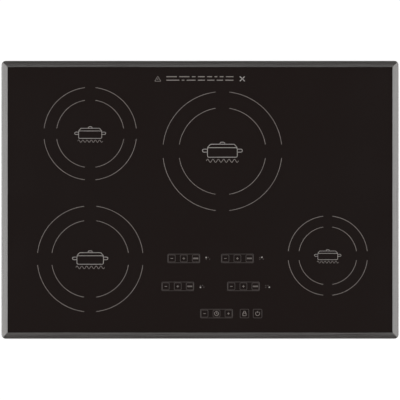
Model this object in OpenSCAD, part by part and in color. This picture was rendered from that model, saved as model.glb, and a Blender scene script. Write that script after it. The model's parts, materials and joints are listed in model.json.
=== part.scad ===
// Drop-in induction cooktop: four cooking zones under one framed sheet of glass-ceramic,
// with a sheet-metal burner box that hangs in a cut-out of the worktop.
// Millimetres. The origin is the middle of the footprint, on the plane of the feet.
// +X is the cook's right, +Y the back of the worktop, +Z up.

/* [Overall size] */
// Width across the bezel
overall_w = 762; // [740:1:790]
// Depth across the bezel
overall_d = 533.4; // [520:0.1:550]
// Height from the feet to the bezel's highest edge
overall_h = 90; // [88:1:100]

/* [Glass and bezel] */
// Thickness of the glass-ceramic sheet
glass_t = 4; // [3.5:0.5:5]
// Width of the bezel seen from above
bezel_w = 12; // [12:0.5:14]
// Height of the bezel's inner edge above the glass
bezel_proud = 1.6; // [1.2:0.1:2]
// Radius of the bezel's outer corners seen from above
corner_r = 9; // [8:1:11]
// Thickness of the foam strip between the rim and the worktop
gasket_t = 2; // [1:0.5:3]

/* [Burner box] */
// Outside width of the box
box_w = 690; // [690:1:700]
// Outside depth of the box
box_d = 470; // [470:1:480]
// Thickness of the steel sheet
sheet_t = 1; // [0.8:0.1:1.2]
// Height of the rubber feet
foot_h = 6; // [5:0.5:8]

/* [Cooking zones] */
// Ring radius of the rear left zone
rear_left_r = 88.9; // [80:0.1:90]
// Centre of the rear left zone, left of the middle
rear_left_x = 210.7; // [205:0.1:215]
// Centre of the rear left zone, behind the middle
rear_left_y = 126.7; // [122:0.1:130]
// Ring radius of the rear centre zone
rear_centre_r = 114.3; // [105:0.1:115]
// Centre of the rear centre zone, right of the middle
rear_centre_x = 42.8; // [40:0.1:46]
// Centre of the rear centre zone, behind the middle
rear_centre_y = 93.1; // [90:0.1:96]
// Ring radius of the front left zone
front_left_r = 101.6; // [95:0.1:102]
// Centre of the front left zone, left of the middle
front_left_x = 210.7; // [208:0.1:213]
// Centre of the front left zone, in front of the middle
front_left_y = 113.4; // [110:0.1:116]
// Ring radius of the front right zone
front_right_r = 76.2; // [70:0.1:77]
// Centre of the front right zone, right of the middle
front_right_x = 244.9; // [242:0.1:248]
// Centre of the front right zone, in front of the middle
front_right_y = 107.2; // [104:0.1:110]

/* [Cooling fans] */
// Radius of the blower wheel
fan_r = 36; // [32:1:37]
// Blades on each wheel
fan_blades = 26; // [18:1:32]

/* [Hidden] */
$fn = 64;
LEFT = -1;
RIGHT = 1;

// Levels, from the feet up
z_pan = foot_h;
z_floor = z_pan + sheet_t;
z_glass = overall_h - bezel_proud - glass_t;
bead_t = 0.6;
z_wall_top = z_glass - bead_t;

// Glass: the outer band is ground down a little where the bezel's lip covers it
glass_cover = 4.5;
rebate = 0.3;
lip_clear = 0.4;

// Bezel section: distances in from the outer face, and down from the top
lip_u = 7;
lip_drop = bezel_proud - 0.2;
channel_drop = bezel_proud + glass_t + 0.5;
lower_lip_t = 1.3;
lower_lip_short = 1;
z_rim = overall_h - channel_drop - lower_lip_t;
z_worktop = z_rim - gasket_t;
crown_r = 60;
crown_start = 4;
edge_chamfer = 0.8;
mitre_gap = 0.1;

// Corner key chamber: its distance in, width, height above the rim's underside, and height
key_u = 3.6;
key_w = 1.6;
key_v = 1.4;
key_h = 2.2;
key_play = 0.1;
key_leg = 26;

// Burner box flanges
foot_flange = 12;
head_flange = 10;
fold_gap = 0.2;
lap = 13;
screw_r = 2;
screw_clear = 0.1;
screw_head_r = 3.8;
screw_head_h = 2.2;
edge_inset = 7;

// Screw places: along the front and back edges of the pan, then along its sides
pan_screws = concat(
    [for (x = [-300 : 150 : 300], s = [-1, 1]) [x, s * (box_d / 2 - edge_inset)]],
    [for (y = [-120 : 120 : 120], s = [-1, 1]) [s * (box_w / 2 - edge_inset), y]]
);
corner_screw_z = [25, 60];

// Coil trays, on sprung posts
tray_t = 1.5;
z_tray = 69;
z_shoulder = z_tray - 12;
post_r = 5;
pin_r = 2.5;
pin_clear = 0.1;
left_posts = [[-314, 214], [-108, 214], [-314, -214], [-108, -214]];
right_posts = [[-70, 204], [320, 204], [320, -182], [171, -182], [-70, -22]];
left_outline = [[-324, -224], [-98, -224], [-98, 224], [-324, 224]];
right_outline = [[-80, -32], [161, -32], [161, -192], [330, -192], [330, 214], [-80, 214]];

// Coils, measured up from the tray
ferrite_t = 4.8;
z_former = z_tray + tray_t + 5;
former_t = 2;
winding_t = 4.6;
bearing_gap = 0.1;
rear_left = [-rear_left_x, rear_left_y, rear_left_r, 8];
rear_centre = [rear_centre_x, rear_centre_y, rear_centre_r, 10];
front_left = [-front_left_x, -front_left_y, front_left_r, 8];
front_right = [front_right_x, -front_right_y, front_right_r, 6];
function coil_out(r) = r - 6;
function coil_in(r) = 0.27 * r;

// Blowers
fan_at = [-250, -150];
fan_z = 14;
fan_h = 32;
fan_wall = 1.8;
scroll_r = fan_r + 3;
scroll_growth = 12;
outlet_from = 12;
outlet_len = 54;
hub_r = 14;
shaft_r = 1.5;
shaft_clear = 0.06;
blade_depth = 9;
blade_sweep = 14;
blade_turn = 2;
blade_steps = 5;
wheel_low = 3.5;
wheel_high = fan_h - fan_wall - 3;
cup_low = 8;

// Circuit boards
board_t = 1.6;
z_board = 18;
z_parts = z_board + board_t;
board_from = [-325, -92];
board_size = [190, 282];
board_posts = [[-319, -86], [-141, -86], [-319, 50], [-141, 50], [-319, 184], [-141, 184]];
filter_from = [-95, 108];
filter_size = [145, 76];
filter_posts = [[-90, 113], [45, 113], [-90, 179], [45, 179]];
sink_from = [-248, -80];
sink_size = [60, 150, 40];

// Power inlet, through the back wall
inlet = [100, 36];
inlet_bore_r = 11.1;
inlet_barrel_r = 13.5;

// Hold-down clamps, one on each side wall
clamp_x = box_w / 2 + 30;
z_arm = 30;
arm_t = 2;
thread_r = 3;
thread_clear = 0.06;
z_wing = 2;
wing_h = 7;
z_tip = 41;

// Touch control, in front of the rear centre coil
touch_from = [-88, -229];
touch_size = [233, 137];
z_touch = 76.5;
key_pitch = 23;
key_rows = [[-31.2, -112.4], [71.7, -112.4], [-42.7, -166], [83.2, -166], [31.6, -218.2]];
lone_keys = [[85.2, -218.2], [110.3, -218.2]];
key_places = concat([for (row = key_rows, i = [-1 : 1]) row + [i * key_pitch, 0]], lone_keys);

// ---------------------------------------------------------------- helpers

// Draws a left-hand part on the left, or its mirror image on the right
module on_side(side) {
    if (side == RIGHT) mirror([1, 0, 0]) children();
    else children();
}

// Mirrors a part into one of the four quarters
module in_quarter(sx, sy) {
    mirror([sx < 0 ? 1 : 0, 0, 0]) mirror([0, sy < 0 ? 1 : 0, 0]) children();
}

// A box from its low corner and its size
module block(from, size) {
    translate(from) cube(size);
}

// A rectangle with round corners, centred
module round_rect(size, r) {
    square([size[0] - 2 * r, size[1]], center = true);
    square([size[0], size[1] - 2 * r], center = true);
    for (sx = [-1, 1], sy = [-1, 1])
        translate([sx * (size[0] / 2 - r), sy * (size[1] / 2 - r)]) circle(r);
}

// A slot with round ends, along X, centred
module slot(length, width) {
    square([length - width, width], center = true);
    for (s = [-1, 1]) translate([s * (length - width) / 2, 0]) circle(width / 2);
}

// An upright ring
module tube(r_out, r_in, h) {
    difference() {
        cylinder(r = r_out, h = h);
        translate([0, 0, -1]) cylinder(r = r_in, h = h + 2);
    }
}

// A pan-head screw whose head's underside is at the origin, with its shank along +Z
module pan_head(shank) {
    translate([0, 0, -screw_head_h]) difference() {
        cylinder(r1 = screw_head_r - 0.8, r2 = screw_head_r, h = screw_head_h);
        for (a = [0, 90]) rotate(a) translate([-2.2, -0.4, -1]) cube([4.4, 0.8, 2]);
    }
    cylinder(r = screw_r, h = shank);
}

// Puts a strip that runs along X, with its outer side at -Y, on one edge of the rim
module on_edge(turn) {
    rotate(turn) translate([0, -(turn % 180 == 0 ? overall_d : overall_w) / 2, 0]) children();
}

// Length of the rim's edge that on_edge() puts a strip on
function edge_length(turn) = turn % 180 == 0 ? overall_w : overall_d;

// Keeps what lies between the two mitre planes of an edge of this length
module mitred(length, gap) {
    intersection() {
        children();
        translate([0, 0, -1]) linear_extrude(overall_h + 2) polygon([
            [-length / 2 + gap, 0], [length / 2 - gap, 0],
            [0, length / 2 - gap]
        ]);
    }
}

// Extrudes a section, drawn with u inwards and v up, along an edge of the rim
module rim_strip(turn, gap) {
    length = edge_length(turn);
    on_edge(turn) mitred(length, gap)
        translate([-length / 2, 0, 0]) rotate([90, 0, 90]) linear_extrude(length) children();
}

// ---------------------------------------------------------------- glass and bezel

module glass_top() {
    plate = [overall_w - 2 * (bezel_w - glass_cover), overall_d - 2 * (bezel_w - glass_cover)];
    face = [overall_w - 2 * (bezel_w + lip_clear), overall_d - 2 * (bezel_w + lip_clear)];
    color([0.10, 0.09, 0.09]) union() {
        block([-plate[0] / 2, -plate[1] / 2, z_glass], [plate[0], plate[1], glass_t - rebate]);
        block([-face[0] / 2, -face[1] / 2, z_glass], [face[0], face[1], glass_t]);
    }
}

// The bezel's section: a crowned lip over the glass, a channel for its edge and a key chamber
module bezel_section() {
    centre_u = bezel_w + crown_r * sin(crown_start);
    centre_v = overall_h - crown_r * cos(crown_start);
    edge_v = centre_v + sqrt(pow(crown_r, 2) - pow(centre_u, 2));
    difference() {
        intersection() {
            polygon([
                [0, z_rim], [0, edge_v - edge_chamfer], [edge_chamfer, edge_v + 0.3 * edge_chamfer],
                [2, overall_h], [bezel_w, overall_h], [bezel_w, z_rim]
            ]);
            translate([centre_u, centre_v]) circle(crown_r, $fn = 128);
        }
        translate([lip_u, overall_h - channel_drop])
            square([bezel_w, channel_drop - lip_drop]);
        translate([bezel_w - lower_lip_short, z_rim - 1]) square([bezel_w, lower_lip_t + 2]);
        translate([key_u, z_rim + key_v]) square([key_w, key_h]);
    }
}

module bezel(turn) {
    color([0.55, 0.55, 0.55]) intersection() {
        rim_strip(turn, mitre_gap) bezel_section();
        translate([0, 0, z_rim - 1]) linear_extrude(overall_h - z_rim + 2)
            round_rect([overall_w, overall_d], corner_r);
    }
}

// L-shaped keys that join the four bezel strips inside their chambers
module bezel_corner_keys() {
    inset = key_u + key_play;
    width = key_w - 2 * key_play;
    height = key_h - 2 * key_play;
    color([0.75, 0.75, 0.75]) for (sx = [-1, 1], sy = [-1, 1]) in_quarter(sx, sy)
        translate([overall_w / 2 - inset, overall_d / 2 - inset, z_rim + key_v + key_play]) {
            block([-key_leg, -width, 0], [key_leg, width, height]);
            block([-width, -key_leg, 0], [width, key_leg, height]);
        }
}

// Cured silicone: round the glass's edge in the bezel's channel, and on the walls' head flanges
module silicone_beads() {
    edge_u = bezel_w - glass_cover;
    color([0.15, 0.15, 0.15]) {
        for (turn = [0 : 90 : 270]) rim_strip(turn, 0.2) difference() {
            translate([lip_u, overall_h - channel_drop])
                square([bezel_w - lip_u - 1.2, channel_drop - lip_drop]);
            translate([edge_u, z_glass]) square([bezel_w, glass_t - rebate]);
        }
        for (s = [-1, 1]) {
            block([-box_w / 2 + 2, s * (box_d / 2 - 5) - 3, z_wall_top], [box_w - 4, 6, bead_t]);
            block([s * (box_w / 2 - 5) - 3, -box_d / 2 + 9, z_wall_top], [6, box_d - 18, bead_t]);
        }
    }
}

// Foam strips under the rim, butted at the corners
module worktop_gasket() {
    width = 8;
    inset = 2;
    long = overall_w - 2 * inset;
    short = overall_d - 2 * (inset + width) - 0.4;
    color([0.2, 0.2, 0.2]) for (s = [-1, 1]) {
        translate([-long / 2, s * (overall_d / 2 - inset - width / 2) - width / 2, z_worktop])
            intersection() {
                cube([long, width, gasket_t]);
                translate([long / 2, width / 2 - s * (overall_d / 2 - inset - width / 2), -1])
                    linear_extrude(gasket_t + 2)
                        round_rect([long, overall_d - 2 * inset], corner_r - inset);
            }
        block([s * (overall_w / 2 - inset - width / 2) - width / 2, -short / 2, z_worktop],
            [width, short, gasket_t]);
    }
}

// ---------------------------------------------------------------- burner box

// Parallel slots that fill a circle, for a blower's intake
module intake_slots(r) {
    pitch = 7;
    for (i = [-5 : 5]) translate([0, i * pitch]) slot(2 * sqrt(pow(r, 2) - pow(i * pitch, 2)), 3.6);
}

// A row of equal slots across X
module slot_row(count, pitch, length) {
    for (i = [0 : count - 1]) translate([(i - (count - 1) / 2) * pitch, 0]) rotate(90)
        slot(length, 3.6);
}

module bottom_pan() {
    color([0.72, 0.73, 0.74]) translate([0, 0, z_pan]) linear_extrude(sheet_t) difference() {
        round_rect([box_w, box_d], 2);
        for (side = [-1, 1]) {
            translate([side * -fan_at[0], fan_at[1]]) intake_slots(40);
            translate([side * 215, 208]) slot_row(16, 9, 22);
        }
        translate([0, -40]) slot_row(12, 9, 34);
        for (p = pan_screws) translate(p) circle(screw_r + screw_clear);
    }
}

// A folded side of the box: web, foot flange and head flange, drawn with its outside at y = 0
// and its inside towards +Y. The flanges stop short of the corners by their own margins.
module folded_wall(length, foot_margin, head_margin) {
    block([-length / 2, 0, z_floor], [length, sheet_t, z_wall_top - z_floor]);
    block([-length / 2 + foot_margin, 0, z_floor], [length - 2 * foot_margin, foot_flange, sheet_t]);
    block([-length / 2 + head_margin, 0, z_wall_top - sheet_t],
        [length - 2 * head_margin, head_flange, sheet_t]);
}

// Holes for the screws that hold the pan to the foot flanges
module pan_screw_holes() {
    for (p = pan_screws) translate([p[0], p[1], z_pan - 1]) cylinder(r = screw_r + screw_clear, h = 6);
}

// Holes for the screws that join the laps at one corner, along Y
module lap_holes() {
    for (sx = [-1, 1], z = corner_screw_z)
        translate([sx * (box_w / 2 - edge_inset), 0, z]) rotate([90, 0, 0])
            cylinder(r = screw_r + screw_clear, h = box_d + 10, center = true);
}

module end_wall(is_rear) {
    color([0.72, 0.73, 0.74]) difference() {
        rotate(is_rear ? 180 : 0) translate([0, -box_d / 2, 0])
            folded_wall(box_w, sheet_t + fold_gap, sheet_t + fold_gap);
        pan_screw_holes();
        lap_holes();
        if (is_rear) {
            for (side = [-1, 1]) translate([side * 235, box_d / 2 + 1, 44]) rotate([90, 0, 0])
                linear_extrude(4) slot_row(18, 9, 40);
            translate([inlet[0], box_d / 2 + 1, inlet[1]]) rotate([90, 0, 0])
                cylinder(r = inlet_barrel_r + 0.1, h = 4);
        }
    }
}

module side_wall(side) {
    length = box_d - 2 * sheet_t;
    color([0.72, 0.73, 0.74]) difference() {
        union() {
            rotate(90 * side) translate([0, -box_w / 2, 0])
                folded_wall(length, foot_flange, head_flange);
            for (s = [-1, 1]) block(
                [side * (box_w / 2 - lap / 2) - lap / 2, s * (length / 2 - sheet_t / 2) - sheet_t / 2,
                    z_floor + 4],
                [lap, sheet_t, z_wall_top - z_floor - 8]);
        }
        pan_screw_holes();
        lap_holes();
        bracket_screw_holes();
    }
}

module rubber_feet() {
    color([0.12, 0.12, 0.12]) for (sx = [-1, 1], sy = [-1, 1]) translate([sx * 300, sy * 195, 0])
        difference() {
            union() {
                cylinder(r1 = 8, r2 = 9, h = 1.5);
                translate([0, 0, 1.5]) cylinder(r = 9, h = foot_h - 1.5);
            }
            translate([0, 0, -1]) cylinder(r = 3.5, h = 4);
        }
}

module case_screws() {
    color([0.6, 0.6, 0.62]) {
        for (p = pan_screws) translate([p[0], p[1], z_pan]) pan_head(5);
        for (s = [-1, 1], sx = [-1, 1], z = corner_screw_z)
            translate([sx * (box_w / 2 - edge_inset), s * box_d / 2, z]) rotate([s * 90, 0, 0])
                pan_head(5);
        for (s = [-1, 1], y = [-9, 9]) translate([s * (box_w / 2 + arm_t), y, 20])
            rotate([0, -s * 90, 0]) pan_head(6);
    }
}

module bracket_screw_holes() {
    for (y = [-9, 9]) translate([0, y, 20]) rotate([0, 90, 0])
        cylinder(r = screw_r + screw_clear, h = box_w + 20, center = true);
}

// Steel posts: shouldered ones that guide the coil trays, and short ones under the boards
module support_posts() {
    color([0.65, 0.65, 0.66]) {
        for (p = concat(left_posts, right_posts)) translate([p[0], p[1], z_floor]) {
            cylinder(r = post_r, h = z_shoulder - z_floor);
            cylinder(r = pin_r, h = z_tray + 6 - z_floor);
        }
        for (side = [-1, 1], p = board_posts) translate([-side * p[0], p[1], z_floor])
            cylinder(r = 3.5, h = z_board - z_floor);
        for (p = filter_posts) translate([p[0], p[1], z_floor]) cylinder(r = 3.5, h = z_board - z_floor);
    }
}

// ---------------------------------------------------------------- hold-down clamps

// Angle brackets on the side walls, each with a nut welded to the end of its arm
module clamp_brackets() {
    width = 30;
    z_foot = 10;
    color([0.68, 0.68, 0.70]) for (side = [-1, 1]) rotate(side == LEFT ? 180 : 0) difference() {
        union() {
            block([box_w / 2, -width / 2, z_foot], [arm_t, width, z_arm + arm_t - z_foot]);
            translate([box_w / 2, 0, z_arm]) linear_extrude(arm_t) polygon([
                [0, -width / 2], [0, width / 2], [20, width / 2], [35, 9], [35, -9],
                [20, -width / 2]
            ]);
            translate([clamp_x, 0, z_arm + arm_t]) rotate(30) cylinder(r = 5.6, h = 5, $fn = 6);
        }
        translate([clamp_x, 0, z_arm - 1]) cylinder(r = thread_r + thread_clear, h = 10);
        bracket_screw_holes();
    }
}

// A winged screw, turned by hand from below
module clamp_screw(side) {
    color([0.75, 0.75, 0.76]) translate([side * clamp_x, 0, 0]) {
        translate([0, 0, z_wing]) cylinder(r = 4.6, h = wing_h);
        translate([0, 0, z_wing]) cylinder(r = thread_r, h = z_tip - z_wing);
        for (s = [-1, 1]) translate([-1.1, 0, z_wing + 0.5]) rotate([90, 0, 90])
            linear_extrude(2.2) polygon([
                [0, 1], [s * 8, 0], [s * 13, 1.5], [s * 13.5, 5], [s * 9, 6], [0, 5]
            ]);
    }
}

// A plastic cap on the screw's tip, which bears on the underside of the worktop
module clamp_cap(side) {
    color([0.15, 0.15, 0.16]) translate([side * clamp_x, 0, z_tip - 3]) difference() {
        union() {
            cylinder(r1 = 4.6, r2 = 5.5, h = 2);
            translate([0, 0, 2]) cylinder(r = 5.5, h = 3);
        }
        translate([0, 0, -1]) cylinder(r = thread_r + thread_clear, h = 4.05);
    }
}

// ---------------------------------------------------------------- blowers

// The blower's scroll from above: a spiral that opens into a straight outlet towards +Y
module scroll_area(extra, reach) {
    steps = 60;
    polygon([
        for (i = [0 : steps])
            let (a = 360 * i / steps, r = scroll_r + extra + scroll_growth * i / steps)
                [r * cos(a), r * sin(a)]
    ]);
    translate([outlet_from - extra, 0])
        square([scroll_r + scroll_growth - outlet_from + 2 * extra, reach]);
}

module fan_housing(side) {
    lug_angles = [100, 180, 290];
    color([0.12, 0.12, 0.13]) on_side(side) translate([fan_at[0], fan_at[1], fan_z]) {
        linear_extrude(fan_h) difference() {
            scroll_area(fan_wall, outlet_len);
            scroll_area(0, outlet_len + 5);
        }
        linear_extrude(fan_wall) difference() {
            scroll_area(fan_wall, outlet_len);
            circle(fan_r - 8);
        }
        translate([0, 0, fan_h - fan_wall]) linear_extrude(fan_wall) difference() {
            scroll_area(fan_wall, outlet_len);
            circle(hub_r - 4);
        }
        for (a = lug_angles) rotate(a)
            translate([scroll_r + scroll_growth * a / 360 + 5, 0, z_floor - fan_z]) difference() {
                cylinder(r = 4.5, h = 16);
                translate([0, 0, -1]) cylinder(r = 1.5, h = 10);
            }
    }
}

// Points along one side of a forward-curved blade, turned by an offset
function blade_side(offset) = [
    for (i = [0 : blade_steps])
        let (r = fan_r - blade_depth + blade_depth * i / blade_steps - 0.01,
            a = blade_sweep * pow(i / blade_steps, 2) + offset)
            [r * cos(a), r * sin(a)]
];

// One blade, from the wheel's inner edge to its rim
module blade(height) {
    back = blade_side(blade_turn);
    linear_extrude(height)
        polygon(concat(blade_side(0), [for (i = [blade_steps : -1 : 0]) back[i]]));
}

// The blower wheel with its shaft: a cup over the motor, a back disc, blades and an end ring
module fan_impeller(side) {
    color([0.85, 0.85, 0.82]) on_side(side) translate([fan_at[0], fan_at[1], fan_z]) {
        difference() {
            union() {
                translate([0, 0, wheel_high - 1.5]) cylinder(r = fan_r, h = 1.5);
                translate([0, 0, cup_low]) cylinder(r = hub_r, h = wheel_high - cup_low);
            }
            translate([0, 0, cup_low + 2]) cylinder(r = hub_r - 1.5, h = fan_h);
        }
        translate([0, 0, cup_low]) cylinder(r = 3, h = 3.5);
        translate([0, 0, cup_low]) cylinder(r = shaft_r, h = fan_h - cup_low);
        translate([0, 0, wheel_low]) tube(fan_r, fan_r - 3, 1.5);
        for (i = [0 : fan_blades - 1]) rotate(i * 360 / fan_blades)
            translate([0, 0, wheel_low + 0.5]) blade(wheel_high - wheel_low - 1);
    }
}

// Motors: a flange on the scroll's roof and a stator that hangs into the wheel's cup
module fan_motors() {
    color([0.55, 0.45, 0.35]) for (side = [LEFT, RIGHT]) on_side(side)
        translate([fan_at[0], fan_at[1], fan_z]) difference() {
            union() {
                translate([0, 0, cup_low + 4]) cylinder(r = hub_r - 4.1, h = fan_h - cup_low - 4);
                translate([0, 0, fan_h]) cylinder(r = hub_r + 1, h = 3);
            }
            translate([0, 0, cup_low + 3]) cylinder(r = shaft_r + shaft_clear, h = fan_h);
        }
}

// ---------------------------------------------------------------- power electronics

module inverter_board(side) {
    color([0.10, 0.32, 0.18]) on_side(side)
        block([board_from[0], board_from[1], z_board], [board_size[0], board_size[1], board_t]);
}

// A fin comb extruded along the air stream, with a thick side that the transistors press on
module heatsink(side) {
    base_t = 5;
    fin_t = 2;
    fins = 9;
    pitch = (sink_size[0] - 4 - fin_t) / (fins - 1);
    color([0.78, 0.78, 0.79]) on_side(side)
        translate([sink_from[0], sink_from[1] + sink_size[1], z_parts]) rotate([90, 0, 0])
        linear_extrude(sink_size[1]) {
            square([sink_size[0], base_t]);
            square([4, sink_size[2]]);
            for (i = [1 : fins - 1]) translate([2 + i * pitch, base_t - 0.5])
                square([fin_t, sink_size[2] - base_t + 0.5]);
        }
}

// A power transistor that stands on its three leads, with its tab at x = 0 and its body towards -X
module transistor(width) {
    block([-5, -width / 2, 7], [5, width, 20]);
    for (i = [-1 : 1]) block([-2.8, i * width / 3 - 0.6, 0], [0.7, 1.2, 7.5]);
}

module power_transistors(side) {
    color([0.08, 0.08, 0.09]) on_side(side) translate([sink_from[0], sink_from[1], z_parts]) {
        for (y = [18, 42, 66, 90]) translate([0, y, 0]) transistor(16);
        translate([0, 124, 0]) transistor(28);
    }
}

module film_capacitors(side) {
    color([0.20, 0.30, 0.62]) on_side(side) {
        for (y = [0 : 26 : 78]) block([-316, -10 + y, z_parts], [42, 20, 34]);
        for (y = [0, 40]) block([-180, -40 + y, z_parts], [32, 26, 36]);
        block([-250, 90, z_parts], [58, 32, 38]);
    }
}

// An upright choke: a wound ring standing on the board
module ring_choke(r_out, r_in, width) {
    translate([0, 0, r_out]) rotate([90, 0, 0]) translate([0, 0, -width / 2]) tube(r_out, r_in, width);
}

module chokes(side) {
    color([0.62, 0.36, 0.18]) on_side(side) {
        translate([-290, -52, z_parts]) ring_choke(17, 8, 15);
        translate([-165, 60, z_parts]) ring_choke(15, 7, 14);
        translate([-165, 100, z_parts]) ring_choke(15, 7, 14);
        for (x = [-300, -270]) translate([x, 150, z_parts]) cylinder(r = 11, h = 24);
        translate([-225, 155, z_parts]) block([-20, -18, 0], [40, 36, 30]);
    }
}

module filter_board() {
    color([0.10, 0.32, 0.18])
        block([filter_from[0], filter_from[1], z_board], [filter_size[0], filter_size[1], board_t]);
}

// Mains filter: a common-mode choke, two film capacitors, a fuse and two varistors
module filter_components() {
    color([0.85, 0.68, 0.20]) {
        translate([-50, 145, z_parts]) ring_choke(19, 9, 18);
        for (x = [-18, 4]) block([x, 130, z_parts], [16, 32, 26]);
        translate([-78, 165, z_parts + 5]) rotate([90, 0, 0]) cylinder(r = 5, h = 36);
        for (x = [28, 38]) translate([x, 165, z_parts]) block([-2, -7, 0], [4, 14, 17]);
    }
}

// Five-pole terminal block on the pan, in front of the inlet
module terminal_block() {
    pole = 11;
    poles = 5;
    color([0.9, 0.9, 0.86]) translate([inlet[0] - pole * poles / 2, 182, z_floor]) difference() {
        union() {
            cube([pole * poles, 22, 12]);
            translate([0, 5, 0]) cube([pole * poles, 12, 22]);
        }
        for (i = [0 : poles - 1]) translate([(i + 0.5) * pole, 11, 14])
            cylinder(r = 3.4, h = 10);
        for (i = [0 : poles - 1]) translate([(i + 0.5) * pole - 3.5, -1, 4]) cube([7, 5, 6]);
    }
}

// Conduit bushing through the back wall, with the lock nut that holds it from inside
module conduit_bushing() {
    color([0.14, 0.14, 0.15]) translate([inlet[0], box_d / 2, inlet[1]]) rotate([-90, 0, 0]) {
        difference() {
            union() {
                translate([0, 0, -8]) cylinder(r = inlet_barrel_r, h = 11);
                cylinder(r = 17.5, h = 3);
            }
            translate([0, 0, -9]) cylinder(r = inlet_bore_r, h = 20);
        }
        translate([0, 0, -sheet_t - 4]) difference() {
            cylinder(r = 18, h = 4, $fn = 8);
            translate([0, 0, -1]) cylinder(r = inlet_barrel_r + 0.1, h = 6);
        }
    }
}

module earth_stud() {
    color([0.80, 0.62, 0.25]) translate([150, 214, z_floor]) {
        cylinder(r = 2.5, h = 14);
        cylinder(r = 6, h = 1);
        translate([0, 0, 1]) cylinder(r = 4.6, h = 4, $fn = 6);
    }
}

// ---------------------------------------------------------------- coils

module coil_winding(zone) {
    color([0.72, 0.42, 0.20]) translate([zone[0], zone[1], z_former + former_t])
        tube(coil_out(zone[2]), coil_in(zone[2]), winding_t);
}

// Plastic carrier of one coil: a spoked disc with a middle socket, three feet, and a rim whose
// high parts are pressed against the glass by the tray's springs
module coil_former(zone) {
    r = coil_out(zone[2]) + 3;
    r_in = coil_in(zone[2]);
    windows = zone[3];
    span = 360 / windows;
    low = former_t + winding_t;
    color([0.20, 0.20, 0.20]) translate([zone[0], zone[1], z_former]) {
        difference() {
            union() {
                cylinder(r = r, h = former_t);
                tube(r, r - 2, z_glass - bearing_gap - z_former);
            }
            translate([0, 0, -1]) cylinder(r = 9, h = former_t + 2);
            for (i = [0 : windows - 1]) rotate(i * span + span / 2 - span * 0.2)
                translate([0, 0, -1]) rotate_extrude(angle = span * 0.4)
                    translate([r_in + 8, 0]) square([r - r_in - 18, former_t + 2]);
            for (a = [0 : 60 : 300]) rotate(a) block([r / 2, -0.42 * r, low], [r, 0.84 * r, low]);
        }
        tube(r_in - 0.3, r_in - 2.3, low);
        for (a = [0 : 120 : 240]) rotate(a + span / 2) translate([r - 6, 0, -5])
            cylinder(r = 4, h = 6);
    }
}

// Ferrite bars under one coil, like the spokes of a wheel
module ferrite_bars(zone) {
    from = coil_in(zone[2]) + 4;
    to = coil_out(zone[2]) - 6;
    translate([zone[0], zone[1], z_former - ferrite_t - 0.1]) for (i = [0 : zone[3] - 1])
        rotate(i * 360 / zone[3]) block([from, -6, 0], [to - from, 12, ferrite_t]);
}

// Temperature sensor of one coil: a rubber holder with a domed thermistor on top
module coil_sensor(zone) {
    translate([zone[0], zone[1], z_tray + tray_t]) {
        cylinder(r = 8.5, h = z_glass - z_tray - tray_t - 2.5);
        cylinder(r = 4, h = z_glass - z_tray - tray_t - bearing_gap);
    }
}

module ferrites(zones) {
    color([0.25, 0.25, 0.27]) for (zone = zones) ferrite_bars(zone);
}

module coil_sensors(zones) {
    color([0.80, 0.30, 0.15]) for (zone = zones) coil_sensor(zone);
}

// Aluminium tray that carries two coils, with a guide hole for each post
module coil_tray(outline, posts, zones) {
    color([0.80, 0.80, 0.81]) translate([0, 0, z_tray]) difference() {
        linear_extrude(tray_t) polygon(outline);
        for (p = posts) translate([p[0], p[1], -1]) cylinder(r = pin_r + pin_clear, h = tray_t + 2);
        for (zone = zones, a = [45, 225]) translate([zone[0], zone[1], -1]) rotate(a)
            translate([0.55 * zone[2], 0, 0]) cylinder(r = 8, h = tray_t + 2);
    }
}

// The envelope of each spring between a post's shoulder and the tray
module tray_springs(posts) {
    color([0.60, 0.60, 0.62]) for (p = posts) translate([p[0], p[1], z_shoulder])
        tube(4.6, 3.4, z_tray - z_shoulder);
}

// ---------------------------------------------------------------- touch control

// Plastic frame on four legs that presses the touch board's springs against the glass
module touch_holder() {
    wall = 3;
    ledge = 14;
    leg_in = ledge - 3.5;
    from = touch_from - [wall, wall];
    size = touch_size + [2 * wall, 2 * wall];
    color([0.85, 0.85, 0.83]) {
        difference() {
            block([from[0], from[1], z_touch - 2.5], [size[0], size[1], 6]);
            block([touch_from[0] - 0.2, touch_from[1] - 0.2, z_touch],
                [touch_size[0] + 0.4, touch_size[1] + 0.4, 6]);
            block([touch_from[0] + ledge, touch_from[1] + ledge, z_touch - 4],
                [touch_size[0] - 2 * ledge, touch_size[1] - 2 * ledge, 8]);
        }
        for (i = [0, 1], j = [0, 1]) translate([
            touch_from[0] + leg_in + i * (touch_size[0] - 2 * leg_in),
            touch_from[1] + leg_in + j * (touch_size[1] - 2 * leg_in),
            z_floor
        ]) cylinder(r = 3.5, h = z_touch - 2.5 - z_floor);
    }
}

module touch_board() {
    color([0.10, 0.32, 0.18])
        block([touch_from[0], touch_from[1], z_touch], [touch_size[0], touch_size[1], board_t]);
}

// The contact springs that carry each key's touch to the board
module touch_springs() {
    low = z_touch + board_t;
    color([0.75, 0.75, 0.76]) for (p = key_places) translate([p[0], p[1], low])
        tube(4, 3.2, z_glass - 0.2 - low);
}

// ---------------------------------------------------------------- nodes

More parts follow.
